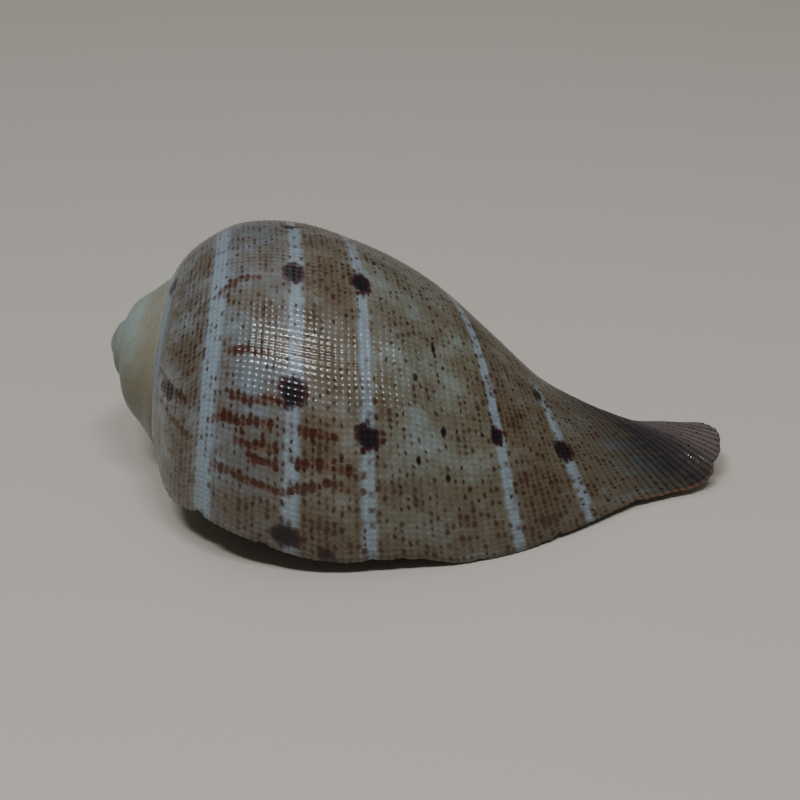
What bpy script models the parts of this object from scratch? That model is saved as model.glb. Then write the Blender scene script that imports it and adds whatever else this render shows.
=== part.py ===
"""Fig shell: one thin wall of shell lime, wound round its axis and lying on its mouth.

The wall grows by a simple rule. As the lip goes round the axis the shell gets larger and hardly changes
its shape, so one outline and one lip line describe it all. GROWTH says how large it was at each growth
angle. A flat grid is rolled up by that rule, given its wall thickness, and fused where a turn lies on the
turn before.
"""

import math

import bmesh
import bpy
from mathutils import Matrix, Vector

MM = 0.001

# Driving dimensions, in millimetres and degrees
WALL = 1.3
LIP_WALL = 0.8
LIP_TAPER = 14.0

# Below this share of its size now, the shell's wall was thinner in proportion
FULL_WALL_SIZE = 0.34

# How far back the winding starts, and the first chamber
TURNS_BACK = 930.0
NUCLEUS_HEIGHT = 1.3
NUCLEUS_RADIUS = 2.1
NUCLEUS_TOP = 0.5

# How far round the canal's rim goes, and how the canal widens towards it
CANAL_WRAP = 215.0
CANAL_FLARE = 0.9
FLARE_FROM = 71.0
FLARE_TO = 86.0

# How the shell lies: the canal end dips, and the lip edge stands past the horizontal on the near side
CANAL_DIP = 12.1
LIP_ANGLE = 107.2

# Growth angle behind the lip, and how large the shell was then. The last half turn flares.
GROWTH = [
    (-930.0, 0.13),
    (-680.0, 0.225),
    (-500.0, 0.337),
    (-320.0, 0.466),
    (-140.0, 0.667),
    (-70.0, 0.817),
    (0.0, 1.0),
    (30.0, 1.09),
]

# The early turns have a flatter top, and start a little before and above the point that the last grows from
EARLY_FROM = 0.47
EARLY_TO = 0.67
EARLY_SHIFT = (-1.0, 0.3, 0.35)

# Half outline of the wall, full size: distance from the apex along the axis, radius from the axis
OUTLINE = [
    (6.0, 8.2),
    (7.4, 11.3),
    (8.2, 13.6),
    (10.9, 20.0),
    (14.5, 24.5),
    (19.6, 28.5),
    (26.0, 30.6),
    (33.3, 31.3),
    (42.0, 30.2),
    (50.7, 28.2),
    (59.4, 24.6),
    (68.1, 18.7),
    (76.8, 12.0),
    (86.9, 7.9),
    (95.0, 6.0),
    (103.0, 4.9),
    (110.0, 5.0),
    (118.0, 5.7),
    (130.0, 6.5),
    (160.0, 7.5),
]
EARLY_OUTLINE = [
    (4.2, 5.2),
    (4.8, 7.2),
    (5.6, 9.8),
    (6.4, 12.3),
    (7.3, 14.7),
    (8.5, 17.0),
    (10.2, 19.2),
    (12.4, 21.2),
    (15.0, 23.5),
    (19.6, 28.5),
]

# Where each turn meets the turn before it: growth angle, distance along the axis at full size
SUTURE = [
    (-930.0, 5.6),
    (-500.0, 5.6),
    (-317.0, 5.8),
    (-137.0, 8.9),
    (0.0, 7.5),
    (30.0, 7.5),
]
SUTURE_LAP = 0.7

# The lip edge: distance along the axis, and how many degrees the edge stands ahead of LIP_ANGLE
LIP_LINE = [
    (6.0, 16.0),
    (13.0, 9.0),
    (17.5, 1.0),
    (36.0, 0.0),
    (41.5, -1.7),
    (47.0, -2.3),
    (52.0, -1.1),
    (60.0, -2.4),
    (65.0, -3.6),
    (70.0, -5.2),
    (78.0, -8.2),
    (84.0, -13.0),
    (88.8, -20.0),
    (92.4, -29.5),
    (95.42, -42.0),
]

# The rim of the canal, from its back corner to the lip: growth angle, distance along the axis
CANAL_RIM = [
    (-215.0, 82.0),
    (-140.0, 83.0),
    (-112.0, 84.5),
    (-95.0, 85.2),
    (-75.0, 85.5),
    (-55.0, 85.2),
    (-42.0, 84.5),
]

# How finely the grid is laid before the turns are fused, and how far the result is thinned
ROWS = 160
BODY_COLUMNS = 38
CANAL_COLUMNS = 14
FUSE_SIZE = 0.42
TRIANGLES = 8000


def curve_at(points, x):
    """Height at x of the smooth curve through the points, by cubic pieces."""
    last = len(points) - 2
    i = 0
    while i < last and x > points[i + 1][0]:
        i += 1

    def slope(k):
        low = points[max(k - 1, 0)]
        high = points[min(k + 1, len(points) - 1)]
        return (high[1] - low[1]) / (high[0] - low[0])

    (x0, y0), (x1, y1) = points[i], points[i + 1]
    step = x1 - x0
    t = min(max((x - x0) / step, 0.0), 1.0)
    rise = y1 - y0
    return (
        y0
        + rise * t * t * (3 - 2 * t)
        + slope(i) * step * t * (1 - t) ** 2
        - slope(i + 1) * step * t * t * (1 - t)
    )


GROWTH_RATE = [(angle, math.log(size)) for angle, size in GROWTH]


def growth(angle):
    """How large the shell was when its lip stood this many degrees from where it stands now."""
    return math.exp(curve_at(GROWTH_RATE, angle))


def smooth_step(x, start, end):
    """0 before start, 1 past end, and a soft rise between them. Start may be larger than end."""
    t = min(max((x - start) / (end - start), 0.0), 1.0)
    return t * t * (3 - 2 * t)


def on_wall(station, angle):
    """A point of the outer surface, in millimetres, with the axis along +X."""
    size = growth(angle)
    early = smooth_step(size, EARLY_TO, EARLY_FROM)
    radius = curve_at(OUTLINE, station)
    if station < EARLY_OUTLINE[-1][0]:
        radius += early * (curve_at(EARLY_OUTLINE, station) - radius)
    along = station * size
    radius = radius * size + CANAL_FLARE * smooth_step(along, FLARE_FROM, FLARE_TO)
    turn = math.radians(LIP_ANGLE + angle)
    point = Vector((along, -radius * math.sin(turn), radius * math.cos(turn)))
    return point + early * Vector(EARLY_SHIFT)


def edge_of_growth(across):
    """Station and angle of the newest edge of the wall, across 0 to 1 from suture to columella.

    The first part is the lip. The second is the rim round the open end of the canal.
    """
    body = BODY_COLUMNS / (BODY_COLUMNS + CANAL_COLUMNS)
    first = LIP_LINE[0][0]
    last, turned = LIP_LINE[-1]
    if across <= body:
        station = first * (last / first) ** (across / body)
        return station, curve_at(LIP_LINE, station)
    angle = turned - (CANAL_WRAP + turned) * (across - body) / (1 - body)
    return curve_at(CANAL_RIM, angle) / growth(angle), angle


def rolled_wall(name):
    """The outer surface as one open sheet: columns are spiral lines, rows are past lip edges."""
    mesh = bpy.data.meshes.new(name)
    sheet = bmesh.new()
    columns = BODY_COLUMNS + CANAL_COLUMNS
    bmesh.ops.create_grid(sheet, x_segments=columns, y_segments=ROWS, size=0.5)
    thickness = sheet.verts.layers.deform.verify()
    whole = LIP_LINE[-1][0]
    for vert in sheet.verts:
        station, ahead = edge_of_growth(vert.co.x + 0.5)
        back = -TURNS_BACK * (0.5 - vert.co.y)
        start = curve_at(SUTURE, back + ahead) - SUTURE_LAP
        if station < whole:
            share = math.log(station / LIP_LINE[0][0]) / math.log(whole / LIP_LINE[0][0])
            station = start * (whole / start) ** share
        lip_share = 1.0 - (1.0 - LIP_WALL / WALL) * max(0.0, 1.0 + back / LIP_TAPER)
        vert[thickness][0] = min(lip_share, growth(back + ahead) / FULL_WALL_SIZE)
        vert.co = on_wall(station, back + ahead) * MM
    bmesh.ops.reverse_faces(sheet, faces=sheet.faces)
    sheet.to_mesh(mesh)
    sheet.free()
    shell = bpy.data.objects.new(name, mesh)
    shell.vertex_groups.new(name="thickness")
    return shell


def add_nucleus(name):
    """The smooth first chamber, a low dome that closes the apex."""
    bead = bmesh.new()
    centre = (Vector(EARLY_SHIFT) + Vector((NUCLEUS_TOP + NUCLEUS_HEIGHT, 0, 0))) * MM
    flatten = Matrix.Diagonal((NUCLEUS_HEIGHT / NUCLEUS_RADIUS, 1.0, 1.0, 1.0))
    place = Matrix.Translation(centre) @ flatten
    bmesh.ops.create_icosphere(bead, subdivisions=3, radius=NUCLEUS_RADIUS * MM, matrix=place)
    mesh = bpy.data.meshes.new(name)
    bead.to_mesh(mesh)
    bead.free()
    return bpy.data.objects.new(name, mesh)


def evaluated(thing):
    """A new mesh of the object as its modifiers leave it."""
    graph = bpy.context.evaluated_depsgraph_get()
    return bpy.data.meshes.new_from_object(thing.evaluated_get(graph))


def keep_largest_body(mesh):
    """Drops the skins of any space that the fused turns close off, so that such a space is solid."""
    shape = bmesh.new()
    shape.from_mesh(mesh)
    shape.verts.ensure_lookup_table()
    waiting = set(shape.verts)
    bodies = []
    while waiting:
        found = {waiting.pop()}
        edge = list(found)
        while edge:
            near = [e.other_vert(v) for v in edge for e in v.link_edges]
            edge = [v for v in set(near) if v not in found]
            found.update(edge)
        waiting -= found
        bodies.append(found)
    largest = max(bodies, key=len)
    loose = [v for v in shape.verts if v not in largest]
    bmesh.ops.delete(shape, geom=loose, context="VERTS")
    shape.to_mesh(mesh)
    shape.free()


def lay_down(mesh):
    """Turns the shell to lie on lip, belly and canal, and puts the origin under the middle of its box."""
    mesh.transform(Matrix.Rotation(math.radians(CANAL_DIP), 4, "Y"))
    low = Vector([min(v.co[k] for v in mesh.vertices) for k in range(3)])
    high = Vector([max(v.co[k] for v in mesh.vertices) for k in range(3)])
    middle = (low + high) / 2
    mesh.transform(Matrix.Translation((-middle.x, -middle.y, -low.z)))


def shell_lime():
    """Tan shell lime with a low gloss."""
    finish = bpy.data.materials.new("shell_lime")
    finish.use_nodes = True
    surface = finish.node_tree.nodes["Principled BSDF"]
    surface.inputs["Base Color"].default_value = (0.36, 0.24, 0.14, 1.0)
    surface.inputs["Roughness"].default_value = 0.3
    surface.inputs["Metallic"].default_value = 0.0
    return finish


def clear_scene():
    for thing in list(bpy.data.objects):
        bpy.data.objects.remove(thing)


def join(main, other):
    """Puts the second object's mesh into the first, as loose bodies that the fusing then joins."""
    both = bmesh.new()
    both.from_mesh(main.data)
    both.from_mesh(other.data)
    both.to_mesh(main.data)
    both.free()
    bpy.data.objects.remove(other)


def build():
    clear_scene()
    home = bpy.data.collections.new("fig_shell")
    bpy.context.scene.collection.children.link(home)

    shell = rolled_wall("fig_shell")
    home.objects.link(shell)
    thick = shell.modifiers.new("wall", "SOLIDIFY")
    thick.thickness = WALL * MM
    thick.offset = -1.0
    thick.vertex_group = "thickness"
    thick.use_even_offset = False
    thick_mesh = evaluated(shell)
    shell.modifiers.clear()
    shell.data = thick_mesh
    join(shell, add_nucleus("nucleus"))

    fuse = shell.modifiers.new("fuse", "REMESH")
    fuse.mode = "VOXEL"
    fuse.voxel_size = FUSE_SIZE * MM
    fused_mesh = evaluated(shell)
    shell.modifiers.clear()
    keep_largest_body(fused_mesh)
    shell.data = fused_mesh

    thin = shell.modifiers.new("thin", "DECIMATE")
    thin.ratio = TRIANGLES / (2.0 * len(fused_mesh.polygons))
    thin_mesh = evaluated(shell)
    shell.modifiers.clear()
    shell.data = thin_mesh

    lay_down(shell.data)
    shell.data.name = "fig_shell"
    shell.data.materials.clear()
    shell.data.materials.append(shell_lime())
    shell.data.shade_smooth()
    return shell


build()
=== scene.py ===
# %% [markdown]
# A fig shell, lying on its mouth
#
# The real thing is one thin wall of shell lime. A sea snail built it by adding a little to the lip,
# day after day, so the whole shell is one strip wound round an axis. This lesson builds it the same
# way: a flat grid is made, rolled up by the rule of growth, given its wall, and finished with a
# lattice of fine ridges and the brown and white pattern of the snail's mantle.
#
# The frame comes first. It is the plain solid model of the shell, and it fixes the size and the
# place.

# %% Load the frame
import math

import bpy
import numpy as np
from mathutils import Matrix, Vector


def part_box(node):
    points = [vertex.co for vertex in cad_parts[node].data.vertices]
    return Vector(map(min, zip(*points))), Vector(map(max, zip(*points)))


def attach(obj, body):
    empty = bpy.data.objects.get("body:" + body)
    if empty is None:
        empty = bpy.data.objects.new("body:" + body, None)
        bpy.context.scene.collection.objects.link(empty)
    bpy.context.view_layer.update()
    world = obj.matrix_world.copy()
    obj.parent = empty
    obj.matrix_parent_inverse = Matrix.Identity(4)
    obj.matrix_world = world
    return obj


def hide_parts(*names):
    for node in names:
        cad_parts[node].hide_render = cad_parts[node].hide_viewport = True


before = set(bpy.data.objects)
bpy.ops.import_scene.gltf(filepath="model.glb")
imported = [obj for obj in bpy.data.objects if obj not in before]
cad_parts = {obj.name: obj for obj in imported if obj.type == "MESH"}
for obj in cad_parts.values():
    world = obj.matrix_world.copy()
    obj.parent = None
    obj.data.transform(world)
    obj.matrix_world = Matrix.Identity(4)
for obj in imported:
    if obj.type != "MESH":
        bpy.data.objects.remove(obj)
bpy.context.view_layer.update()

low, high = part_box("fig_shell")
print("frame", [round(1000 * (b - a), 1) for a, b in zip(low, high)], "mm")

# %% [markdown]
# Units and numbers that everything shares
#
# Lengths below are in millimetres at full size, because that is how a shell is measured, and MM turns
# them into Blender's metres once, when the points are placed. A place on the shell has two numbers. Its
# station says how far along the axis it lies, measured as if the shell had its full size there. Its
# growth angle is 0 at the lip and runs back to minus 930 degrees at the tip of the spire.
#
# A shell that keeps its shape as it grows needs only one outline: every older lip is the same outline,
# made smaller and turned back. GROWTH holds the size at each angle and OUTLINE the radius at each
# station. SUTURE says where each turn comes out from under the next, and LIP_LINE how many degrees the
# lip stands ahead at each station. The canal's rim is the one edge that is not an old lip, and
# CANAL_RIM says how far along the axis it lies at each angle.

# %% Driving sizes
MM = 0.001
WALL = 1.15
LIP_WALL = 0.45
LIP_TAPER = 12.0
CANAL_DIP = 12.1
LIP_ANGLE = 107.2
CANAL_WRAP = 215.0
CANAL_FLARE = 0.9
FLARE_FROM = 71.0
FLARE_TO = 86.0
TURNS_BACK = 930.0
NUCLEUS_HEIGHT = 1.3
NUCLEUS_RADIUS = 2.1
NUCLEUS_TOP = 0.5

GROWTH = [
    (-930.0, 0.13),
    (-680.0, 0.225),
    (-500.0, 0.337),
    (-320.0, 0.466),
    (-140.0, 0.667),
    (-70.0, 0.817),
    (0.0, 1.0),
    (30.0, 1.09),
]
OUTLINE = [
    (6.0, 8.2),
    (7.4, 11.3),
    (8.2, 13.6),
    (10.9, 20.0),
    (14.5, 24.5),
    (19.6, 28.5),
    (26.0, 30.6),
    (33.3, 31.3),
    (42.0, 30.2),
    (50.7, 28.2),
    (59.4, 24.6),
    (68.1, 18.7),
    (76.8, 12.0),
    (86.9, 7.9),
    (95.0, 6.0),
    (103.0, 4.9),
    (110.0, 5.0),
    (118.0, 5.7),
    (130.0, 6.5),
    (160.0, 7.5),
]
EARLY_OUTLINE = [
    (4.2, 5.2),
    (4.8, 7.2),
    (5.6, 9.8),
    (6.4, 12.3),
    (7.3, 14.7),
    (8.5, 17.0),
    (10.2, 19.2),
    (12.4, 21.2),
    (15.0, 23.5),
    (19.6, 28.5),
]
EARLY_FROM = 0.47
EARLY_TO = 0.67
EARLY_SHIFT = np.array([-1.0, 0.3, 0.35])
SUTURE = [
    (-930.0, 5.6),
    (-500.0, 5.6),
    (-317.0, 5.8),
    (-137.0, 8.9),
    (0.0, 7.5),
    (30.0, 7.5),
]
LIP_LINE = [
    (6.0, 16.0),
    (13.0, 9.0),
    (17.5, 1.0),
    (36.0, 0.0),
    (41.5, -1.7),
    (47.0, -2.3),
    (52.0, -1.1),
    (60.0, -2.4),
    (65.0, -3.6),
    (70.0, -5.2),
    (78.0, -8.2),
    (84.0, -13.0),
    (88.8, -20.0),
    (92.4, -29.5),
    (95.42, -42.0),
]
CANAL_RIM = [
    (-215.0, 82.0),
    (-140.0, 83.0),
    (-112.0, 84.5),
    (-95.0, 85.2),
    (-75.0, 85.5),
    (-55.0, 85.2),
    (-42.0, 84.5),
]
print("outline", len(OUTLINE), "points, widest radius", max(radius for _, radius in OUTLINE), "mm")

# %% [markdown]
# The rule of growth
#
# A smooth curve through a few points stands for each table, so that nothing on the shell has a
# corner. The slope at each point is the slope between its two neighbours, which is the usual way to
# draw a fair line by hand. The early turns have a blunter shoulder than the last one, so two outlines
# are mixed.

# %% Curves and the rolled surface


def curve_at(points, x):
    """Heights at x, one number or an array, of the smooth curve through the points."""
    xs, ys = np.array(points, float).T
    near = np.arange(len(xs))
    left, right = np.maximum(near - 1, 0), np.minimum(near + 1, len(xs) - 1)
    slopes = (ys[right] - ys[left]) / (xs[right] - xs[left])
    i = np.clip(np.searchsorted(xs, x) - 1, 0, len(xs) - 2)
    step = xs[i + 1] - xs[i]
    t = np.clip((x - xs[i]) / step, 0.0, 1.0)
    bend = slopes[i] * step * t * (1 - t) ** 2 - slopes[i + 1] * step * t * t * (1 - t)
    return ys[i] + (ys[i + 1] - ys[i]) * t * t * (3 - 2 * t) + bend


def smooth_step(x, start, end):
    """0 before start, 1 past end, and a soft rise between them. Start may be larger than end."""
    t = np.clip((x - start) / (end - start), 0.0, 1.0)
    return t * t * (3 - 2 * t)


def growth(angle):
    """Size of the shell when its lip stood at this angle, as a share of its size now."""
    logs = [(a, math.log(size)) for a, size in GROWTH]
    return np.exp(curve_at(logs, angle))


def radius_at(station, early):
    """Radius of the full-size outline, mixed towards the blunt early outline."""
    radius = curve_at(OUTLINE, station)
    blunt = np.where(station < EARLY_OUTLINE[-1][0], curve_at(EARLY_OUTLINE, station), radius)
    return radius + early * (blunt - radius)


def on_wall(station, angle):
    """Points of the outer surface in millimetres, with the axis along X, the apex at the origin."""
    size = growth(angle)
    early = smooth_step(size, EARLY_TO, EARLY_FROM)
    along = station * size
    flare = CANAL_FLARE * smooth_step(along, FLARE_FROM, FLARE_TO)
    radius = radius_at(station, early) * size + flare
    turn = np.radians(LIP_ANGLE + angle)
    around = np.stack([along, -radius * np.sin(turn), radius * np.cos(turn)], -1)
    return around + early[..., None] * EARLY_SHIFT


print("one turn back the shell was", round(float(growth(-360.0)), 3), "of its size")

# %% [markdown]
# Cords and threads
#
# The outside of a fig shell is a fine net. Cords run round the shell with the growth, a millimetre
# apart at full size, and every second one is a little stronger. Threads cross them where the lip once
# stood. Both get a number here, cord number by station and thread number by growth angle, and all
# later steps, mesh and colours alike, count in these two numbers. So the net, the dots on the cords
# and the grooves always fall together.
#
# A cord runs on a spiral, and the outline crosses it at a slant. The distance between two cords is
# measured square to them, so each step along the outline counts by the sine of the angle between the
# two lines. The turns have two outlines, and the cords are spaced by the mean of them.

# %% Number the cords
CORD_SPACING = 1.0
THREAD_ANGLE = 1.65
FIRST_STATION = 2.6
LAST_STATION = 152.0
MEAN_OUTLINE = 0.5

stations = np.linspace(FIRST_STATION, LAST_STATION, 4000)
radii = radius_at(stations, MEAN_OUTLINE)
slopes = np.gradient(radii, stations)
spiral_rate = -math.log(growth(-180.0)) / math.pi
outline_step = np.sqrt(1 + slopes**2)
spiral_step = np.sqrt(spiral_rate**2 * (stations**2 + radii**2) + radii**2)
crossing = spiral_rate * (stations + radii * slopes) / (outline_step * spiral_step)
squareness = np.sqrt(1 - crossing**2)
cord_numbers = np.cumsum(outline_step * squareness) * (stations[1] - stations[0]) / CORD_SPACING
print("cords from tip to canal:", round(cord_numbers[-1]))

# %% [markdown]
# The edge of the newest growth
#
# The wall stops at the lip, which stands almost straight along the axis, and then at the rim of the
# canal, which goes round its open end. The lip is thin and has lost some small chips. The high power
# makes most of them tiny.

# %% The lip and the canal's rim
CHIP_DEGREES = 1.3
CHIP_CORDS = 1.3
CHIPPED_CORDS = 160.0
CHIP_POWER = 5

dice = np.random.default_rng(7)
chip_places = np.arange(0.0, CHIPPED_CORDS, CHIP_CORDS)
chip_depths = CHIP_DEGREES * dice.random(len(chip_places)) ** CHIP_POWER


def lip_angle(station):
    """How many degrees the newest edge of the wall stands ahead of LIP_ANGLE."""
    rim = np.linspace(LIP_LINE[-1][1], -CANAL_WRAP, 300)
    on_rim = np.interp(station, curve_at(CANAL_RIM, rim) / growth(rim), rim)
    return np.where(station < LIP_LINE[-1][0], curve_at(LIP_LINE, station), on_rim)


print("chips deeper than half a degree:", int((chip_depths > 0.5).sum()))

# %% [markdown]
# Roll up the wall
#
# A flat grid is enough to start from: its columns become the cords, three to each cord so that a
# ridge has a top and two feet, and its rows become old lip edges. Moving every point by the growth
# rule rolls the sheet up into all the turns at once. Modelling turn by turn would leave a seam at each
# joint. The newest part of the shell gets a row to each thread, and the older part half as many.
# Each turn starts a little under the suture, so that no gap opens there.

# %% Add the grid and roll it up
COLUMNS_PER_CORD = 3
FINE_TURN = 231.0
SUTURE_LAP = 0.7
CHIP_FADE = 5.0

first_cord = math.floor(np.interp(SUTURE[0][1] - SUTURE_LAP, stations, cord_numbers))
last_cord = np.interp(CANAL_RIM[0][1] / growth(-CANAL_WRAP), stations, cord_numbers)
columns = int((last_cord - first_cord) * COLUMNS_PER_CORD)
fine_rows = int(FINE_TURN / THREAD_ANGLE)
rows = fine_rows + int((TURNS_BACK - FINE_TURN) / (2 * THREAD_ANGLE))

bpy.ops.object.select_all(action="DESELECT")
bpy.ops.mesh.primitive_grid_add(x_subdivisions=columns, y_subdivisions=rows, size=1.0)
shell = bpy.context.object
shell.name = shell.data.name = "fig_shell_wall"
mesh = shell.data


def read(items, name, width=1):
    """One row of numbers for each vertex or corner, as an array."""
    flat = np.empty(len(items) * width)
    items.foreach_get(name, flat)
    return flat.reshape(-1, width) if width > 1 else flat


def store(name, values):
    """Keeps one number for each vertex, where modifiers and materials can find it."""
    field = mesh.attributes.get(name) or mesh.attributes.new(name, "FLOAT", "POINT")
    field.data.foreach_set("value", np.asarray(values, np.float32))


def turned(points):
    """Points of the rolled wall, tipped so that the canal's end comes down to the ground."""
    dip = Matrix.Rotation(math.radians(CANAL_DIP), 3, "Y")
    return points @ np.array(dip).T


flat = read(mesh.vertices, "co", 3) + 0.5
cord = first_cord + flat[:, 0] * (last_cord - first_cord)
row_backs = [0.0, FINE_TURN, TURNS_BACK]
back = -np.interp((1 - flat[:, 1]) * rows, [0, fine_rows, rows], row_backs)
suture = curve_at(SUTURE, back + lip_angle(SUTURE[-1][1])) - SUTURE_LAP
station = np.maximum(np.interp(cord, cord_numbers, stations), suture)
chips = np.interp(cord, chip_places, chip_depths) * smooth_step(back, -CHIP_FADE, 0.0)
angle = back - chips + lip_angle(station)
mesh.vertices.foreach_set("co", (turned(on_wall(station, angle)) * MM).ravel())
store("station", station)
store("angle", angle)
store("back", back)
store("cord", np.interp(station, stations, cord_numbers))

bpy.ops.object.mode_set(mode="EDIT")
bpy.ops.mesh.select_all(action="SELECT")
bpy.ops.mesh.remove_doubles(threshold=0.00001 * MM)
bpy.ops.mesh.flip_normals()
bpy.ops.object.mode_set(mode="OBJECT")
print("rolled sheet:", columns, "by", rows, "faces")

# %% [markdown]
# Give the sheet its wall
#
# Solidify grows the wall inwards, so the outside keeps its exact size. A vertex group thins it
# towards the lip, as on the real shell, and towards the tip, where the turns are small. The inside
# gets its own material slot, because the snail finishes it as smooth porcelain.

# %% Solidify
EARLY_WALL_SIZE = 0.42


def apply_modifier(kind, name, **settings):
    """Adds one modifier to the shell and applies it."""
    modifier = shell.modifiers.new(name, kind)
    for key, value in settings.items():
        setattr(modifier, key, value)
    bpy.ops.object.modifier_apply(modifier=name)


def weigh(name, weights):
    """Fills a vertex group with one weight for each vertex, in steps of a hundredth."""
    group = shell.vertex_groups.new(name=name)
    steps = np.round(np.clip(weights, 0, 1) * 100).astype(int)
    for step in np.unique(steps):
        group.add(np.flatnonzero(steps == step).tolist(), step / 100, "REPLACE")


size = growth(read(mesh.attributes["angle"].data, "value"))
near_lip = smooth_step(read(mesh.attributes["back"].data, "value"), -LIP_TAPER, 0.0)
lip_share = 1 - (1 - LIP_WALL / WALL) * near_lip
weigh("thickness", np.minimum(size / EARLY_WALL_SIZE, lip_share))
outside_count = len(mesh.vertices)
for slot_name in ("outside", "inside"):
    mesh.materials.append(bpy.data.materials.new(slot_name))
apply_modifier(
    "SOLIDIFY",
    "wall",
    thickness=WALL * MM,
    offset=-1.0,
    vertex_group="thickness",
    use_even_offset=False,
    material_offset=1,
    material_offset_rim=0,
)
mesh = shell.data
outer = np.arange(len(mesh.vertices)) < outside_count
print("wall:", len(mesh.vertices), "points,", outside_count, "of them outside")

# %% [markdown]
# Raise the cords
#
# The cords are cut in, not added on: their tops stay on the true surface and the furrows between them
# go down, so the shell keeps its measured size. Only the outside moves. Real relief is used here
# because the cords show along the edge of the canal, where a painted bump would leave the outline
# smooth. They stand out more on the canal and on the spire than on the wide belly. Relief is given at
# full size and shrinks with the size of the turn.

# %% Press in the furrows
CORD_RELIEF = 0.12
CANAL_CORD_RELIEF = 0.26
SPIRE_CORD_RELIEF = 0.22
LESSER_CORD = 0.72
CANAL_FROM = 72.0
CANAL_TO = 88.0
SPIRE_SIZES = (0.55, 0.42)


def stored(name):
    """The numbers of one field, read back from the mesh."""
    return read(mesh.attributes[name].data, "value")


cord, station, angle = stored("cord"), stored("station"), stored("angle")
size = growth(angle)
ridge = 0.5 + 0.5 * np.cos(2 * math.pi * cord)
ridge *= np.where(np.round(cord) % 2 == 0, 1.0, LESSER_CORD)
tallest = np.full(len(station), CORD_RELIEF)
tallest += (CANAL_CORD_RELIEF - CORD_RELIEF) * smooth_step(station, CANAL_FROM, CANAL_TO)
tallest += (SPIRE_CORD_RELIEF - CORD_RELIEF) * smooth_step(size, *SPIRE_SIZES)
depth = tallest * size * (1 - ridge) * outer
points = read(mesh.vertices, "co", 3) - read(mesh.vertices, "normal", 3) * depth[:, None] * MM
mesh.vertices.foreach_set("co", points.ravel())
print("deepest furrow", round(depth.max(), 2), "mm")

# %% [markdown]
# Spend the faces where they show
#
# So fine a grid is only needed on the outside of the last turn and on the strip of each early turn
# that the next one leaves bare. Everything that the later turns cover, and the smooth inside, is
# thinned with Decimate. The vertex group keeps it away from the points that show.

# %% Thin the hidden parts
MOST_TRIANGLES = 186000
BARE_MARGIN = 1.5

next_turn = angle + 360.0
next_suture = curve_at(SUTURE, next_turn) * growth(next_turn) + BARE_MARGIN
covered = (angle < -360.0) & (station * size > next_suture)
weigh("spare", np.where(outer & ~covered, 0.0, 1.0))
triangles = sum(len(face.vertices) - 2 for face in mesh.polygons)
apply_modifier(
    "DECIMATE",
    "thin",
    ratio=MOST_TRIANGLES / triangles,
    vertex_group="spare",
    vertex_group_factor=1000.0,
)
mesh = shell.data
print("triangles", triangles, "to", sum(len(face.vertices) - 2 for face in mesh.polygons))

# %% [markdown]
# The nucleus, and the place on the ground
#
# The snail hatched with a first chamber, a smooth low dome at the tip. A small flattened sphere closes
# the tip with it. It is joined to the wall, because it is one piece with it, and its points get the
# numbers of the oldest turn. Then the whole shell moves to where the frame has it. The frame's flat
# faces cut its curves short by less than a tenth of a millimetre, and the shell is drawn in by as much
# to stay inside the frame. The frame's own solid is hidden.

# %% Add the nucleus and place the shell
tip = turned(EARLY_SHIFT + np.array([NUCLEUS_TOP + NUCLEUS_HEIGHT, 0.0, 0.0])) * MM
bpy.ops.object.select_all(action="DESELECT")
bpy.ops.mesh.primitive_uv_sphere_add(
    segments=24, ring_count=12, radius=NUCLEUS_RADIUS * MM, location=tip
)
nucleus = bpy.context.object
nucleus.scale = (NUCLEUS_HEIGHT / NUCLEUS_RADIUS, 1.0, 1.0)
nucleus.rotation_euler = (0.0, math.radians(CANAL_DIP), 0.0)
bpy.ops.object.transform_apply(location=True, rotation=True, scale=True)
nucleus.data.materials.append(bpy.data.materials["outside"])
mesh = nucleus.data
oldest = {"station": 8.0, "angle": -TURNS_BACK, "back": -TURNS_BACK, "cord": 0.5}
for name, value in oldest.items():
    store(name, np.full(len(mesh.vertices), value))
shell.select_set(True)
bpy.context.view_layer.objects.active = shell
bpy.ops.object.join()
mesh = shell.data

points = read(mesh.vertices, "co", 3)
bottom, top = points.min(0), points.max(0)
fit = ((np.array(high) - np.array(low)) / (top - bottom)).min()
middle = Vector(((bottom[0] + top[0]) / 2, (bottom[1] + top[1]) / 2, bottom[2]))
place = Vector(((low.x + high.x) / 2, (low.y + high.y) / 2, low.z))
mesh.transform(Matrix.Translation(place) @ Matrix.Scale(fit, 4) @ Matrix.Translation(-middle))
bpy.ops.object.shade_smooth()
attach(shell, "root")
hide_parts("fig_shell")
print("shell", [round(1000 * side, 1) for side in shell.dimensions], "mm")
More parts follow.
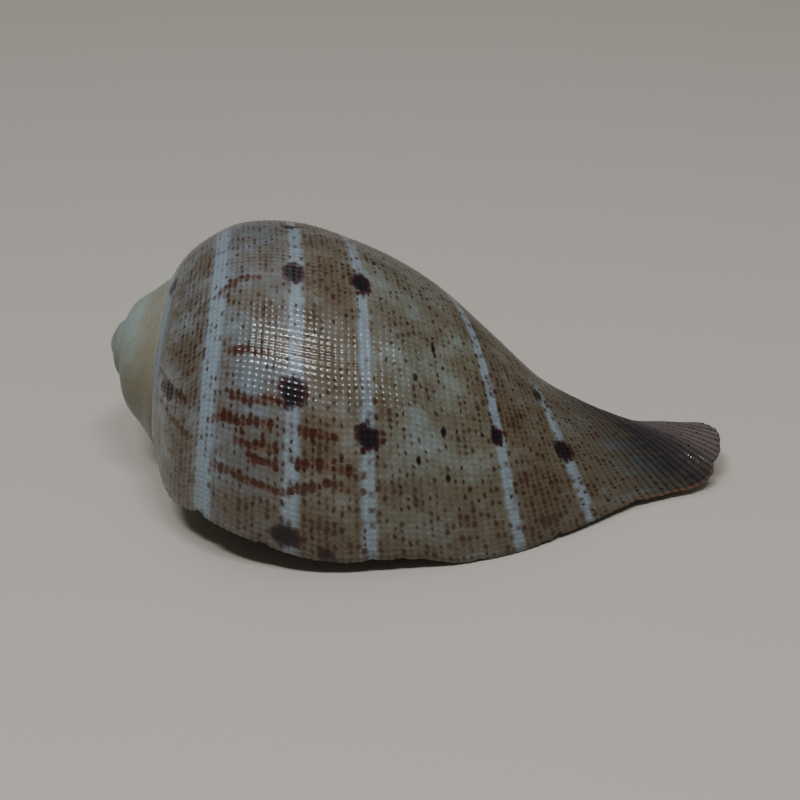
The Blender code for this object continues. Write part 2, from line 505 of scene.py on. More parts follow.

# %% [markdown]
# Where the mantle laid its pigment
#
# The colours of a shell are laid down at the lip as it grows. A gland that stays at its place along
# the lip draws a line round the shell, and glands that all switch on for a day draw a row of dots
# across it. So every mark is placed by its station and its growth angle. The large marks are listed
# below. Round the back, where they can't be seen, their rows go on at about the same spacing.
#
# A band has a station and half a width. A spot has a station, an angle, half its length along the axis
# and half its height in degrees. The last band only begins some way round the last turn, and the
# others began long ago.

# %% Bands and dark spots
BAND_EDGE = 0.7
PALE_BANDS = [(17.3, 1.25), (29.7, 1.2), (40.4, 1.1), (59.9, 0.8), (69.8, 0.75)]
LONG_AGO = -2000.0
BAND_STARTS = [LONG_AGO, LONG_AGO, LONG_AGO, LONG_AGO, -70.0]
BAND_FADE = 8.0
BAND_STRENGTHS = [1.0, 0.9, 0.85, 1.0, 0.95]
DARK_SPOTS = [
    (29.2, -79.0, 1.7, 4.4),
    (29.6, -42.3, 2.0, 4.4),
    (29.2, -5.0, 2.1, 3.2),
    (34.6, -1.6, 1.0, 2.0),
    (29.0, -107.5, 1.4, 2.6),
    (31.5, -140.0, 2.2, 4.6),
    (40.6, -81.0, 1.7, 4.2),
    (40.5, -34.2, 1.8, 3.8),
    (59.5, -40.0, 1.0, 3.2),
    (69.7, -36.6, 1.5, 4.6),
    (69.3, -62.0, 0.9, 2.4),
    (9.6, -90.0, 0.6, 7.0),
    (10.8, -31.0, 1.2, 3.6),
    (44.0, -95.0, 0.5, 1.3),
    (51.5, -64.0, 0.4, 1.5),
    (48.0, -53.0, 0.4, 1.3),
    (51.5, -39.0, 0.5, 1.6),
    (47.5, -30.0, 0.4, 1.2),
    (51.5, -26.0, 0.4, 1.2),
]
BACK_FROM = -170.0
BACK_TO = -380.0
SPOT_EVERY = 41.0
SPOT_STRAY = 9
SPOT_GROWN = (0.6, 1.1)
SPOT_SIZES = [(1.0, 2.4), (2.1, 4.8), (1.8, 4.0), (1.0, 2.8), (1.2, 3.8)]

spots = list(DARK_SPOTS)
for (centre, _), (length, degrees) in zip(PALE_BANDS, SPOT_SIZES):
    for place in np.arange(BACK_FROM, BACK_TO, -SPOT_EVERY):
        grown = dice.uniform(*SPOT_GROWN)
        strayed = place + dice.uniform(-SPOT_STRAY, SPOT_STRAY)
        spots.append((centre, strayed, length * grown, degrees * grown))

station, angle, back, cord = (stored(name) for name in ("station", "angle", "back", "cord"))
size = growth(angle)


def spot_field(marks):
    """1 in the middle of a mark, 0 at its edge and less outside, for every point of the shell."""
    field = np.full(len(station), -1.0)
    for centre, place, length, degrees in marks:
        away = np.hypot((station - centre) / length, (angle - place) / degrees)
        field = np.maximum(field, 1 - away)
    return field


pale = np.zeros(len(station))
for (centre, half), start, strength in zip(PALE_BANDS, BAND_STARTS, BAND_STRENGTHS):
    inside_band = smooth_step(np.abs(station - centre), half + BAND_EDGE, half - BAND_EDGE)
    begun = smooth_step(angle, start - BAND_FADE, start + BAND_FADE)
    pale = np.maximum(pale, strength * inside_band * begun)
store("spots", spot_field(spots))
store("pale", pale)
store("from_suture", (station - curve_at(SUTURE, angle)) * size)
print("dark spots:", len(spots), "of which", len(DARK_SPOTS), "placed by hand")

# %% [markdown]
# Brown flames and blotches
#
# Between the bands the brown lies in small dots, one to a cord, thick in some zones and thin in
# others. So one field says how much brown there is at each place. It starts from the zones along the
# axis, is raised close behind the lip, and has some listed blotches added, given like the spots. The
# brown also runs across the cords in wavy chains, each only a cord or two thick. A chain is a line of
# points, and its field falls off with the distance from that line. In the chains a degree counts as
# the millimetres that it is wide on the belly.

# %% Chains and blotches
MM_PER_DEGREE = 0.48
BROWN_ZONES = [
    (6.0, 0.2),
    (11.0, 0.36),
    (14.0, 0.48),
    (19.0, 0.28),
    (27.0, 0.32),
    (32.0, 0.56),
    (38.0, 0.5),
    (43.0, 0.3),
    (56.0, 0.34),
    (62.0, 0.58),
    (68.0, 0.5),
    (74.0, 0.28),
    (82.0, 0.0),
    (88.0, -0.4),
]
LIP_BROWN = 0.2
LIP_BROWN_DEGREES = (-22.0, -6.0)
BLOTCH_BROWN = 0.3
CHAINS = [
    [(18.2, -29.4), (19.6, -32.2), (22.4, -31.4), (24.4, -33.0), (26.8, -32.8)],
    [(20.4, -38.4), (22.6, -37.4), (25.5, -39.2), (28.0, -39.4)],
    [(21.8, -27.0), (24.0, -26.0), (26.0, -27.6), (27.4, -27.0)],
    [(30.6, -24.4), (33.4, -25.8), (35.4, -25.0), (38.2, -25.4)],
    [(19.0, -17.0), (21.5, -18.0), (24.0, -16.4), (26.0, -16.8), (29.5, -16.4)],
    [(30.4, -18.0), (32.5, -19.4), (35.0, -21.2), (37.6, -20.2)],
    [(24.0, -22.6), (26.0, -23.2), (27.4, -22.2)],
    [(31.0, -32.6), (33.4, -33.6), (36.0, -32.4)],
    [(17.7, -70.0), (18.6, -72.0), (20.6, -75.0), (23.8, -76.0)],
    [(20.0, -50.4), (22.8, -52.0), (25.6, -51.0)],
    [(9.4, -37.0), (11.6, -33.0), (13.8, -32.0)],
    [(10.0, -24.0), (12.4, -22.0), (14.6, -21.0)],
]
BLOTCHES = [
    (33.6, -30.0, 3.8, 3.8),
    (25.0, -9.0, 7.0, 5.0),
    (35.0, -8.0, 7.0, 7.0),
    (22.0, -84.0, 3.6, 5.0),
    (24.0, -66.0, 5.0, 5.0),
    (35.0, -70.0, 3.8, 10.0),
    (63.4, -70.0, 3.0, 7.0),
    (63.6, -48.0, 3.4, 9.0),
    (64.0, -28.0, 3.6, 8.0),
    (65.0, -12.0, 4.6, 8.0),
    (50.0, -6.0, 10.0, 5.0),
    (46.0, -22.8, 8.0, 1.8),
    (12.4, -50.0, 3.0, 9.0),
    (13.0, -14.0, 3.0, 9.0),
]
CHAIN_HALF_WIDTH = 0.85
BACK_CHAINS = 34
BACK_CHAIN_STATIONS = (18, 62)
BACK_CHAIN_PLACES = (-360, -110)
WAVE_STEP = 2.2
WAVE_DEGREES = 1.6
WAVE_POINTS = 4

for _ in range(BACK_CHAINS):
    start, place = dice.uniform(*BACK_CHAIN_STATIONS), dice.uniform(*BACK_CHAIN_PLACES)
    wave = dice.uniform(-WAVE_DEGREES, WAVE_DEGREES, WAVE_POINTS)
    CHAINS.append([(start + WAVE_STEP * step, place + rise) for step, rise in enumerate(wave)])

chains = np.full(len(station), -1.0)
for line in CHAINS:
    for (x0, y0), (x1, y1) in zip(line, line[1:]):
        run = Vector((x1 - x0, (y1 - y0) * MM_PER_DEGREE))
        dx, dy = station - x0, (angle - y0) * MM_PER_DEGREE
        t = np.clip((dx * run.x + dy * run.y) / run.length_squared, 0, 1)
        away = np.hypot(dx - t * run.x, dy - t * run.y)
        chains = np.maximum(chains, 1 - away / CHAIN_HALF_WIDTH)
brown = curve_at(BROWN_ZONES, station) + LIP_BROWN * smooth_step(back, *LIP_BROWN_DEGREES)
brown += BLOTCH_BROWN * np.maximum(spot_field(BLOTCHES), 0)
store("chains", chains)
store("brown", brown)
print("chains:", len(CHAINS), "blotches:", len(BLOTCHES))

# %% [markdown]
# Net coordinates for the materials
#
# The material counts in cords and threads, so the mesh carries them as its UV map. U is the cord
# number and V the thread number. The wall is one unbroken strip, so this map has no seam anywhere.

# %% Write the net into the UV map
corner_points = np.empty(len(mesh.loops), dtype=np.int64)
mesh.loops.foreach_get("vertex_index", corner_points)
net = np.stack([cord, -back / THREAD_ANGLE], -1)[corner_points]
while mesh.uv_layers:
    mesh.uv_layers.remove(mesh.uv_layers[0])
mesh.uv_layers.new(name="net").data.foreach_set("uv", net.ravel())
print("threads from lip to tip:", round(TURNS_BACK / THREAD_ANGLE))

# %% [markdown]
# Small helpers for materials
#
# Three helpers keep the materials short. One turns the hex colours that a painter would note down into
# the linear values that Blender works in. One adds a node together with its settings and links. The
# last one fills a colour ramp.

# %% Colour and node helpers


def colour(code):
    """A linear colour from an sRGB hex code."""
    parts = [int(code[k : k + 2], 16) / 255 for k in (1, 3, 5)]
    return (*(c / 12.92 if c <= 0.04045 else ((c + 0.055) / 1.055) ** 2.4 for c in parts), 1.0)


def add_node(tree, kind, inputs=(), output=0, **settings):
    """Adds a node, sets or links its inputs by name or number, and gives back one output."""
    node = tree.nodes.new("ShaderNode" + kind)
    for key, value in settings.items():
        setattr(node, key, value)
    for key, value in dict(inputs).items():
        if isinstance(value, bpy.types.NodeSocket):
            tree.links.new(value, node.inputs[key])
        else:
            node.inputs[key].default_value = value
    return node.outputs[output]


def fill_ramp(socket, stops):
    """Sets the stops of the colour ramp that the socket belongs to."""
    ramp = socket.node.color_ramp
    while len(ramp.elements) < len(stops):
        ramp.elements.new(0.5)
    for element, (position, code) in zip(ramp.elements, stops):
        element.position = position
        element.color = colour(code)


print("helpers ready")

# %% [markdown]
# The outside: sculptured shell lime
#
# Shell lime is aragonite, a clear hard mineral with refractive index near 1.6, grown in thin crossed
# layers. To the eye it is a soft, slightly dull colour under a thin clear gloss, and the smooth beads
# of the net throw small bright glints. The colour is in the lime itself, so the gloss lies over it
# everywhere.
#
# The first cell sets out the coordinates and the noise. All sizes come from the net: one unit of U is
# a cord, a millimetre at full size, and a unit of V is a thread, about 0.8 mm. There are broad patches,
# small flecks, and streaks that are longer along the axis than round it.

# %% Noise in the net
THREAD_MM = 0.8
PATCH_MM = 6.0
FLECK_MM = 1.5
STREAK_MM = (7.0, 1.6)

outside = bpy.data.materials["outside"]
outside.name = "shell_lime_sculptured"
outside.use_nodes = True
tree = outside.node_tree
surface = tree.nodes["Principled BSDF"]

net_map = add_node(tree, "UVMap", uv_map="net")
in_mm = add_node(tree, "Mapping", {"Vector": net_map, "Scale": (CORD_SPACING, THREAD_MM, 1.0)})
patches = add_node(tree, "TexNoise", {"Vector": in_mm, "Scale": 1 / PATCH_MM, "Detail": 3.0})
flecks = add_node(tree, "TexNoise", {"Vector": in_mm, "Scale": 1 / FLECK_MM, "Detail": 2.0})
stretch = tuple(1 / length for length in STREAK_MM)
stretched = add_node(tree, "Mapping", {"Vector": in_mm, "Scale": (*stretch, 1.0)})
streaks = add_node(tree, "TexNoise", {"Vector": stretched, "Scale": 1.0, "Detail": 1.0})
u_number = add_node(tree, "SeparateXYZ", {0: net_map})
v_number = u_number.node.outputs[1]
FIELDS = ("station", "angle", "back", "pale", "spots", "chains", "brown", "from_suture")
field = {name: add_node(tree, "Attribute", output=2, attribute_name=name) for name in FIELDS}
print("fields read:", ", ".join(field))

# %% [markdown]
# The net itself, as a fine bump
#
# The mesh holds the cords. The threads are lower, and where the two cross stands a small bead. Those
# are too many to model, so a bump adds them: two waves, one along each direction of the net, and their
# product for the beads. On the canal they fade, and the cords are left.

# %% Threads and beads
THREAD_RELIEF = 0.022
BEAD_RELIEF = 0.032
CANAL_THREADS = 0.4
BEAD_SHARPNESS = 2.0

cord_wave = add_node(tree, "Math", {0: u_number, 1: 2 * math.pi}, operation="MULTIPLY")
cord_wave = add_node(tree, "Math", {0: cord_wave}, operation="COSINE")
thread_wave = add_node(tree, "Math", {0: v_number, 1: 2 * math.pi}, operation="MULTIPLY")
thread_wave = add_node(tree, "Math", {0: thread_wave}, operation="COSINE")
on_cord = add_node(tree, "MapRange", {"Value": cord_wave, "From Min": -1.0})
on_thread = add_node(tree, "MapRange", {"Value": thread_wave, "From Min": -1.0})
bead = add_node(tree, "Math", {0: on_cord, 1: on_thread}, operation="MULTIPLY")
bead = add_node(tree, "Math", {0: bead, 1: BEAD_SHARPNESS}, operation="POWER")
relief = add_node(tree, "Math", {0: on_thread, 1: THREAD_RELIEF}, operation="MULTIPLY")
relief = add_node(
    tree, "Math", {0: bead, 1: BEAD_RELIEF, 2: relief}, operation="MULTIPLY_ADD"
)
fading = add_node(
    tree,
    "MapRange",
    {
        "Value": field["station"],
        "From Min": CANAL_FROM,
        "From Max": 86.0,
        "To Min": 1.0,
        "To Max": CANAL_THREADS,
    },
)
relief = add_node(tree, "Math", {0: relief, 1: fading}, operation="MULTIPLY")
print("thread height", THREAD_RELIEF, "mm, bead height", BEAD_RELIEF, "mm")

# %% [markdown]
# Ground colours
#
# From the shoulder to the canal the ground goes from bluish grey through greenish grey and olive to a
# very dark purple brown, with a lighter tip. The hundredth part of the station gives the place on that
# scale. Broad patches of noise and short pale streaks bleach it, but not on the canal.

# %% The ground
BLEACHED = "#8d9ba2"
GROUND = [
    (0.05, "#868f94"),
    (0.14, "#7d858a"),
    (0.24, "#68727a"),
    (0.35, "#7d7668"),
    (0.48, "#747d74"),
    (0.57, "#737462"),
    (0.64, "#6e674f"),
    (0.74, "#5f6056"),
    (0.80, "#3c3d39"),
    (0.86, "#2b2a2b"),
    (0.93, "#3b3535"),
    (1.00, "#625756"),
]

ramp_place = add_node(tree, "Math", {0: field["station"], 1: 0.01}, operation="MULTIPLY")
ground = add_node(tree, "ValToRGB", {0: ramp_place})
fill_ramp(ground, GROUND)
paler = add_node(
    tree, "MapRange", {"Value": patches, "From Min": 0.5, "From Max": 0.32, "To Max": 0.5}
)
bleached = add_node(
    tree, "Mix", {0: 0.45, 6: ground, 7: colour(BLEACHED)}, 2, data_type="RGBA"
)
streaked = add_node(
    tree, "MapRange", {"Value": streaks, "From Min": 0.54, "From Max": 0.68, "To Max": 0.55}
)
on_body = add_node(
    tree, "MapRange", {"Value": field["station"], "From Min": 84.0, "From Max": 74.0}
)
paler = add_node(tree, "Math", {0: paler, 1: on_body}, operation="MULTIPLY")
streaked = add_node(tree, "Math", {0: streaked, 1: on_body}, operation="MULTIPLY")
ground = add_node(tree, "Mix", {0: paler, 6: ground, 7: bleached}, 2, data_type="RGBA")
ground = add_node(tree, "Mix", {0: streaked, 6: ground, 7: bleached}, 2, data_type="RGBA")
print("ground stops:", len(GROUND))

# %% [markdown]
# One dot to a cord
#
# The brown is laid in dots that sit on the cords, a little further apart than the threads. Each dot
# gets a random number, and the rows on neighbouring cords start at different places. A little noise
# bends the rows, so that no two dots have the same outline. DOT_SHAPE makes them longer along the cord
# than across it.
#
# A helper paints the dots of one mark: a dot grows with the amount by which the mark's density exceeds
# the dot's own number. So a mark thins out into separate small dots at its edge, and runs together
# where it is dense. A higher tightness draws the dots smaller and crisper.

# %% Dots of pigment
DOTS_PER_THREAD = 0.8
DOT_SHAPE = (1.4, 0.9, 0.0)
WOBBLE_MM = 1.1
WOBBLE = 0.75

wobble = add_node(tree, "TexNoise", {"Vector": in_mm, "Scale": 1 / WOBBLE_MM, "Detail": 1.0}, 1)
wobbled = add_node(
    tree,
    "VectorMath",
    {0: wobble, 1: (WOBBLE, WOBBLE, 0.0), 2: net_map},
    operation="MULTIPLY_ADD",
)
dot_u = add_node(tree, "SeparateXYZ", {0: wobbled})
dot_v = dot_u.node.outputs[1]
dot_cord = add_node(tree, "Math", {0: dot_u}, operation="ROUND")
row_start = add_node(tree, "TexWhiteNoise", {"W": dot_cord}, noise_dimensions="1D")
dot_place = add_node(
    tree, "Math", {0: dot_v, 1: DOTS_PER_THREAD, 2: row_start}, operation="MULTIPLY_ADD"
)
dot_number = add_node(tree, "Math", {0: dot_place}, operation="ROUND")
dot_name = add_node(tree, "CombineXYZ", {0: dot_cord, 1: dot_number})
dot_chance = add_node(tree, "TexWhiteNoise", {"Vector": dot_name}, noise_dimensions="2D")
dot_x = add_node(tree, "Math", {0: dot_u, 1: dot_cord}, operation="SUBTRACT")
dot_y = add_node(tree, "Math", {0: dot_place, 1: dot_number}, operation="SUBTRACT")
from_dot = add_node(tree, "CombineXYZ", {0: dot_x, 1: dot_y})
from_dot = add_node(tree, "VectorMath", {0: from_dot, 1: DOT_SHAPE}, operation="MULTIPLY")
from_dot = add_node(tree, "VectorMath", {0: from_dot}, 1, operation="LENGTH")


def paint_dots(skin, density, code, share, tightness=1.0):
    """Lays dots of one colour over the skin, large and close where the density is high."""
    left = add_node(tree, "Math", {0: density, 1: dot_chance}, operation="SUBTRACT")
    away = add_node(tree, "Math", {0: from_dot, 1: tightness}, operation="MULTIPLY")
    reach = add_node(tree, "Math", {0: left, 1: away}, operation="SUBTRACT")
    mask = add_node(
        tree, "MapRange", {"Value": reach, "From Min": -0.55, "From Max": 0.25, "To Max": share}
    )
    return add_node(tree, "Mix", {0: mask, 6: skin, 7: colour(code)}, 2, data_type="RGBA")


print("dots", round(THREAD_MM / DOTS_PER_THREAD, 2), "mm apart along a cord")

# %% [markdown]
# Brown ground and pale bands
#
# Flecks and patches of noise shift the density of the brown. It is laid three times: as a soft tint
# under the dots, as light brown dots, and as darker ones where the brown is dense. Five narrow bands
# have no brown in them and look bluish white. Their edges follow the dots, so they are stepped from
# cord to cord, and they fade in places. The suture has a narrow white line of the same kind.

# %% Brown and bands
TINT, LIGHT_BROWN, DARK_BROWN = "#5c503d", "#46301f", "#3a2013"
BAND_COLOUR = "#86949e"
DENSE_FROM = 0.42

uneven = add_node(tree, "Math", {0: patches, 1: 2.0, 2: -1.0}, operation="MULTIPLY_ADD")
uneven = add_node(tree, "Math", {0: flecks, 1: 0.6, 2: uneven}, operation="MULTIPLY_ADD")
brown = add_node(tree, "Math", {0: field["brown"], 1: uneven}, operation="ADD")
tint = add_node(
    tree, "MapRange", {"Value": brown, "From Min": 0.0, "From Max": 1.0, "To Max": 0.9}
)
skin = add_node(tree, "Mix", {0: tint, 6: ground, 7: colour(TINT)}, 2, data_type="RGBA")
skin = paint_dots(skin, brown, LIGHT_BROWN, 0.4, 1.9)
darker = add_node(tree, "Math", {0: brown, 1: DENSE_FROM}, operation="SUBTRACT")
skin = paint_dots(skin, darker, DARK_BROWN, 0.7, 1.7)

band_edge = add_node(
    tree, "Math", {0: dot_chance, 1: 0.5, 2: field["pale"]}, operation="MULTIPLY_ADD"
)
band_edge = add_node(tree, "Math", {0: flecks, 1: 0.4, 2: band_edge}, operation="MULTIPLY_ADD")
pale_mask = add_node(
    tree, "MapRange", {"Value": band_edge, "From Min": 0.75, "From Max": 1.45, "To Max": 0.85}
)
suture_line = add_node(
    tree,
    "MapRange",
    {"Value": field["from_suture"], "From Min": 0.9, "From Max": 0.4, "To Max": 0.9},
)
pale_mask = add_node(tree, "Math", {0: pale_mask, 1: suture_line}, operation="MAXIMUM")
skin = add_node(tree, "Mix", {0: pale_mask, 6: skin, 7: colour(BAND_COLOUR)}, 2, data_type="RGBA")
print("pale bands:", len(PALE_BANDS))

# %% [markdown]
# Chains, stray dots and spots
#
# The chains are redder and darker than the brown ground: a soft line first, and dots along it. Every
# second cord also carries a few stray dark dots. Each place gets one more random number, and only
# where that is low is a dot drawn. The spots come last, with a maroon rim and an almost black middle.

# %% Dark marks
CHAIN_LINE, CHAIN_DOTS = "#63401f", "#3f1e10"
STRAY_COLOUR = "#2f1610"
SPOT_RIM, SPOT_BODY, SPOT_HEART = "#3a1413", "#2a1115", "#0e0b12"
STRAY_SHARE = 0.1
STRAY_RADIUS = 0.33

in_chain = add_node(
    tree, "MapRange", {"Value": field["chains"], "From Min": -0.3, "From Max": 0.7, "To Max": 1.25}
)
chain_line = add_node(
    tree, "MapRange", {"Value": field["chains"], "From Min": 0.1, "From Max": 0.8, "To Max": 0.55}
)
skin = add_node(tree, "Mix", {0: chain_line, 6: skin, 7: colour(CHAIN_LINE)}, 2, data_type="RGBA")
skin = paint_dots(skin, in_chain, CHAIN_DOTS, 0.9, 1.2)

stray_name = add_node(tree, "VectorMath", {0: dot_name, 1: (0.37, 0.61, 0.0)}, operation="ADD")
stray_chance = add_node(tree, "TexWhiteNoise", {"Vector": stray_name}, noise_dimensions="2D")
stray = add_node(tree, "Math", {0: stray_chance, 1: STRAY_SHARE}, operation="LESS_THAN")
every_second = add_node(tree, "Math", {0: dot_cord, 1: 2.0}, operation="PINGPONG")
every_second = add_node(tree, "Math", {0: every_second, 1: 0.5}, operation="GREATER_THAN")
stray = add_node(tree, "Math", {0: stray, 1: every_second}, operation="MULTIPLY")
stray_size = add_node(tree, "Math", {0: STRAY_RADIUS, 1: from_dot}, operation="SUBTRACT")
stray_mask = add_node(
    tree, "MapRange", {"Value": stray_size, "From Min": -0.05, "From Max": 0.15, "To Max": 0.85}
)
stray_mask = add_node(tree, "Math", {0: stray_mask, 1: stray}, operation="MULTIPLY")
skin = add_node(tree, "Mix", {0: stray_mask, 6: skin, 7: colour(STRAY_COLOUR)}, 2, data_type="RGBA")

spot = add_node(tree, "Math", {0: flecks, 1: 0.8, 2: -0.4}, operation="MULTIPLY_ADD")
spot = add_node(tree, "Math", {0: spot, 1: field["spots"]}, operation="ADD")
in_spot = add_node(
    tree, "MapRange", {"Value": spot, "From Min": -0.35, "From Max": 0.35, "To Max": 1.6}
)
skin = paint_dots(skin, in_spot, SPOT_RIM, 0.9)
spot_body = add_node(
    tree, "MapRange", {"Value": spot, "From Min": -0.2, "From Max": 0.25, "To Max": 0.85}
)
skin = add_node(tree, "Mix", {0: spot_body, 6: skin, 7: colour(SPOT_BODY)}, 2, data_type="RGBA")
spot_heart = add_node(
    tree, "MapRange", {"Value": spot, "From Min": 0.15, "From Max": 0.5, "To Max": 0.9}
)
skin = add_node(tree, "Mix", {0: spot_heart, 6: skin, 7: colour(SPOT_HEART)}, 2, data_type="RGBA")
print("stray dots on every second cord:", STRAY_SHARE)

# %% [markdown]
# The spire and the worn lip
#
# The early turns are pale greenish cream and have lost their brown. They are yellowed in patches, and
# their colour turns darker and yellower towards the ground. The worn edge of the lip shows the
# orange-brown inner layer, but only along the front of the canal.

# %% Spire and lip
SPIRE = [(0.0, "#a3b5b3"), (0.25, "#9aaba6"), (0.6, "#949f94"), (1.0, "#918f7f")]
STAIN, LOW_TONE = "#7d6f4a", "#70684b"
INNER_LAYER = "#7d5a3c"
LOW_TONE_HEIGHTS_MM = (26.0, 14.0)

on_spire = add_node(
    tree, "MapRange", {"Value": field["angle"], "From Min": -290.0, "From Max": -380.0}
)
spire_place = add_node(tree, "MapRange", {"Value": field["from_suture"], "From Max": 4.0})
spire = add_node(tree, "ValToRGB", {0: spire_place})
fill_ramp(spire, SPIRE)
stain = add_node(
    tree, "MapRange", {"Value": patches, "From Min": 0.5, "From Max": 0.7, "To Max": 0.35}
)
spire = add_node(tree, "Mix", {0: stain, 6: spire, 7: colour(STAIN)}, 2, data_type="RGBA")
# Darker and yellower towards the ground: this colour follows the height above the floor.
height = add_node(tree, "SeparateXYZ", {0: add_node(tree, "TexCoord", output=3)}, 2)
tone_top, tone_bottom = (mm * MM for mm in LOW_TONE_HEIGHTS_MM)
low_tone_share = add_node(
    tree, "MapRange", {"Value": height, "From Min": tone_top, "From Max": tone_bottom, "To Max": 0.85}
)
spire = add_node(tree, "Mix", {0: low_tone_share, 6: spire, 7: colour(LOW_TONE)}, 2, data_type="RGBA")
skin = add_node(tree, "Mix", {0: on_spire, 6: skin, 7: spire}, 2, data_type="RGBA")
lip_edge = add_node(
    tree, "MapRange", {"Value": field["back"], "From Min": -2.6, "From Max": -1.0, "To Max": 0.65}
)
at_canal = add_node(
    tree, "MapRange", {"Value": field["station"], "From Min": 70.0, "From Max": 82.0}
)
in_front = add_node(
    tree, "MapRange", {"Value": field["angle"], "From Min": -45.0, "From Max": -32.0}
)
lip_edge = add_node(tree, "Math", {0: lip_edge, 1: at_canal}, operation="MULTIPLY")
lip_edge = add_node(tree, "Math", {0: lip_edge, 1: in_front}, operation="MULTIPLY")
skin = add_node(tree, "Mix", {0: lip_edge, 6: skin, 7: colour(INNER_LAYER)}, 2, data_type="RGBA")
print("spire stops:", len(SPIRE))

# %% [markdown]
# Join the finish
#
# The furrows are painted a little darker than the ridges, as painted shade in the hollows of the net.
# On the canal and the spire, where the cords stand out most, this painted shade shows as dark lines.
# The gloss is a thin clear coat over the duller lime, and it follows the same bump, so each bead has a
# glint of its own.

# %% Finish of the outside
FURROW_SHADE = 0.16
CANAL_SHADE = 0.55
SPIRE_SHARE = 0.5

# Painted shade: the hollows between the beads, and the furrows between the cords on the canal and the
# spire, are mixed towards black.
furrow_painted_shade = add_node(
    tree, "MapRange", {"Value": bead, "From Max": 0.5, "To Min": FURROW_SHADE, "To Max": 0.0}
)
cord_painted_shade = add_node(
    tree, "MapRange", {"Value": on_cord, "From Max": 0.6, "To Min": CANAL_SHADE, "To Max": 0.0}
)
bold = add_node(
    tree, "Math", {0: on_spire, 1: SPIRE_SHARE, 2: at_canal}, operation="MULTIPLY_ADD"
)
cord_painted_shade = add_node(tree, "Math", {0: cord_painted_shade, 1: bold}, operation="MULTIPLY")
furrow_painted_shade = add_node(tree, "Math", {0: furrow_painted_shade, 1: cord_painted_shade}, operation="MAXIMUM")
skin = add_node(
    tree, "Mix", {0: furrow_painted_shade, 6: skin, 7: colour("#000000")}, 2, data_type="RGBA"
)
gloss = add_node(tree, "MapRange", {"Value": flecks, "To Min": 0.3, "To Max": 0.5})
bump = add_node(tree, "Bump", {"Strength": 1.0, "Distance": MM, "Height": relief})
tree.links.new(skin, surface.inputs["Base Color"])
tree.links.new(gloss, surface.inputs["Roughness"])
tree.links.new(bump, surface.inputs["Normal"])
tree.links.new(bump, surface.inputs["Coat Normal"])
surface.inputs["IOR"].default_value = 1.6
surface.inputs["Specular IOR Level"].default_value = 0.1
surface.inputs["Coat Weight"].default_value = 0.5
surface.inputs["Coat Roughness"].default_value = 0.06
surface.inputs["Coat IOR"].default_value = 1.55
print("outside nodes:", len(tree.nodes))

# %% [markdown]
# The inside: porcelain shell lime
#
# The snail's soft mantle polishes the inside as it lines it, so it has no net, only faint growth
# lines. To the eye it is smooth porcelain, pale buff with a violet tinge, browner right at the lip and
# deeper in colour towards the throat.

# %% The inside
LINING = [(0.0, "#9a7350"), (0.03, "#b59c86"), (0.3, "#b7a49a"), (1.0, "#8a7470")]
LINE_COLOUR = "#93806f"
DEEPEST = -300.0
LINE_MM = (50.0, 4 / 3)

inside = bpy.data.materials["inside"]
inside.name = "shell_lime_porcelain"
inside.use_nodes = True
tree = inside.node_tree
surface = tree.nodes["Principled BSDF"]

depth_in = add_node(tree, "Attribute", output=2, attribute_name="angle")
depth_in = add_node(tree, "MapRange", {"Value": depth_in, "From Min": 0.0, "From Max": DEEPEST})
lining = add_node(tree, "ValToRGB", {0: depth_in})
fill_ramp(lining, LINING)
net_map = add_node(tree, "UVMap", uv_map="net")
line_scale = (CORD_SPACING / LINE_MM[0], THREAD_MM / LINE_MM[1], 1.0)
lines_map = add_node(tree, "Mapping", {"Vector": net_map, "Scale": line_scale})
lines = add_node(tree, "TexNoise", {"Vector": lines_map, "Scale": 1.0, "Detail": 2.0})
shade = add_node(
    tree, "MapRange", {"Value": lines, "From Min": 0.3, "From Max": 0.7, "To Max": 0.35}
)
lining = add_node(tree, "Mix", {0: shade, 6: lining, 7: colour(LINE_COLOUR)}, 2, data_type="RGBA")
tree.links.new(lining, surface.inputs["Base Color"])
surface.inputs["Roughness"].default_value = 0.22
surface.inputs["IOR"].default_value = 1.6
surface.inputs["Coat Weight"].default_value = 0.4
surface.inputs["Coat Roughness"].default_value = 0.08
print("inside nodes:", len(tree.nodes))

# %% [markdown]
# Floor
#
# A plain, pale, slightly warm floor of matt paper. It throws a little light back under the shell.

# %% Floor
FLOOR_SIZE = 3.0

bpy.ops.object.select_all(action="DESELECT")
bpy.ops.mesh.primitive_plane_add(size=FLOOR_SIZE, location=(0, 0, 0))
floor = bpy.context.object
floor.name = "floor"
paper = bpy.data.materials.new("floor_paper")
paper.use_nodes = True
surface = paper.node_tree.nodes["Principled BSDF"]
surface.inputs["Base Color"].default_value = colour("#c0b9ac")
surface.inputs["Roughness"].default_value = 0.8
floor.data.materials.append(paper)
print("floor", floor.dimensions[0], "m across")

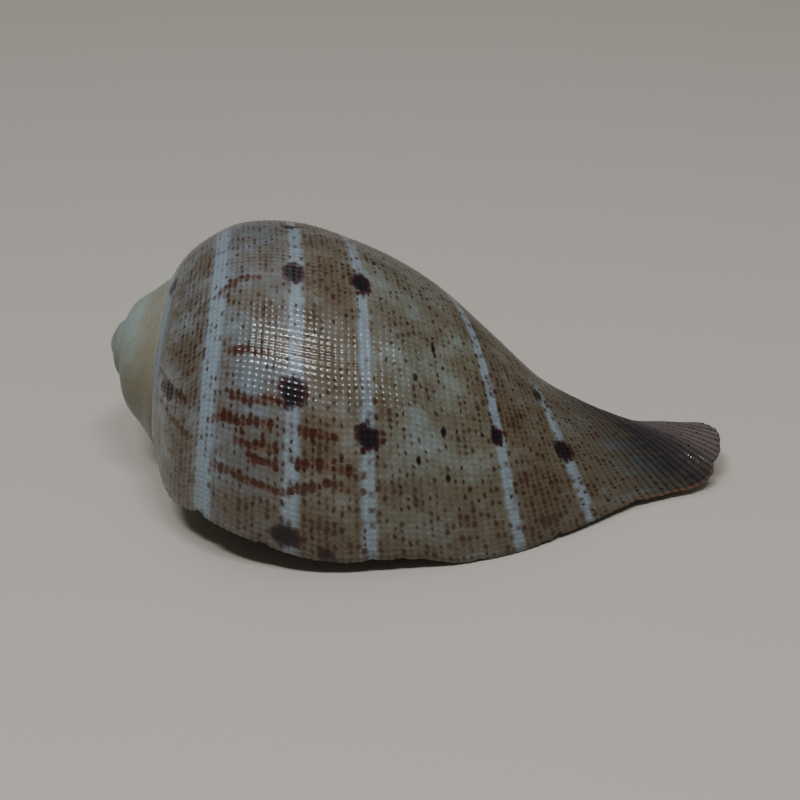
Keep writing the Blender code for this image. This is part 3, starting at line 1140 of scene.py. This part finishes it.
# %% [markdown]
# Lights
#
# Three soft lights. Two short ones hang in front and above, where their reflections break up on the
# beads of the net into two patches of small glints. A wide one lights the shell from above. Each has
# a direction from the shell, a distance, a width and a height in metres, and a power in watts. A dim
# even sky fills the shadows.

# %% Lights
LIGHTS = [
    ("left", (-0.17, -0.43, 0.86), 0.60, 0.18, 0.04, 1.8),
    ("right", (0.17, -0.43, 0.86), 0.60, 0.16, 0.04, 1.2),
    ("ceiling", (-0.20, 0.30, 0.95), 0.90, 0.60, 0.60, 1.05),
]

for name, direction, distance, width, height, watts in LIGHTS:
    lamp = bpy.data.lights.new(name, "AREA")
    lamp.shape = "RECTANGLE"
    lamp.size, lamp.size_y = width, height
    lamp.energy = watts
    lamp.color = colour("#f0f4fa")[:3]
    holder = bpy.data.objects.new(name, lamp)
    holder.location = Vector(direction).normalized() * distance
    holder.rotation_euler = Vector(direction).to_track_quat("Z", "Y").to_euler()
    bpy.context.scene.collection.objects.link(holder)

sky = bpy.data.worlds.new("soft_room")
sky.use_nodes = True
sky.node_tree.nodes["Background"].inputs["Color"].default_value = colour("#e3e3df")
sky.node_tree.nodes["Background"].inputs["Strength"].default_value = 0.18
bpy.context.scene.world = sky
print("lights:", len(LIGHTS))

# %% [markdown]
# Camera
#
# The camera stands where the picture was taken from, a little more than a quarter of a metre away and
# 28 degrees above the table. Its place is in millimetres. It is tipped by a degree or two, as the
# picture is.

# %% Camera
CAMERA_PLACE = Vector((16.8, -238.8, 142.6)) * MM
CAMERA_LOOK = Vector((-0.0682, 0.8772, -0.4753))
CAMERA_ROLL = -1.78
CAMERA_LENS = 89.7

camera = bpy.data.objects.new("camera", bpy.data.cameras.new("camera"))
camera.data.lens = CAMERA_LENS
camera.data.sensor_width = 36.0
camera.location = CAMERA_PLACE
roll = Matrix.Rotation(math.radians(CAMERA_ROLL), 3, "Z")
camera.rotation_euler = (CAMERA_LOOK.to_track_quat("-Z", "Y").to_matrix() @ roll).to_euler()
camera.data.clip_start = 0.01
bpy.context.scene.collection.objects.link(camera)
bpy.context.scene.camera = camera
print("camera", [round(1000 * c) for c in camera.location], "mm")
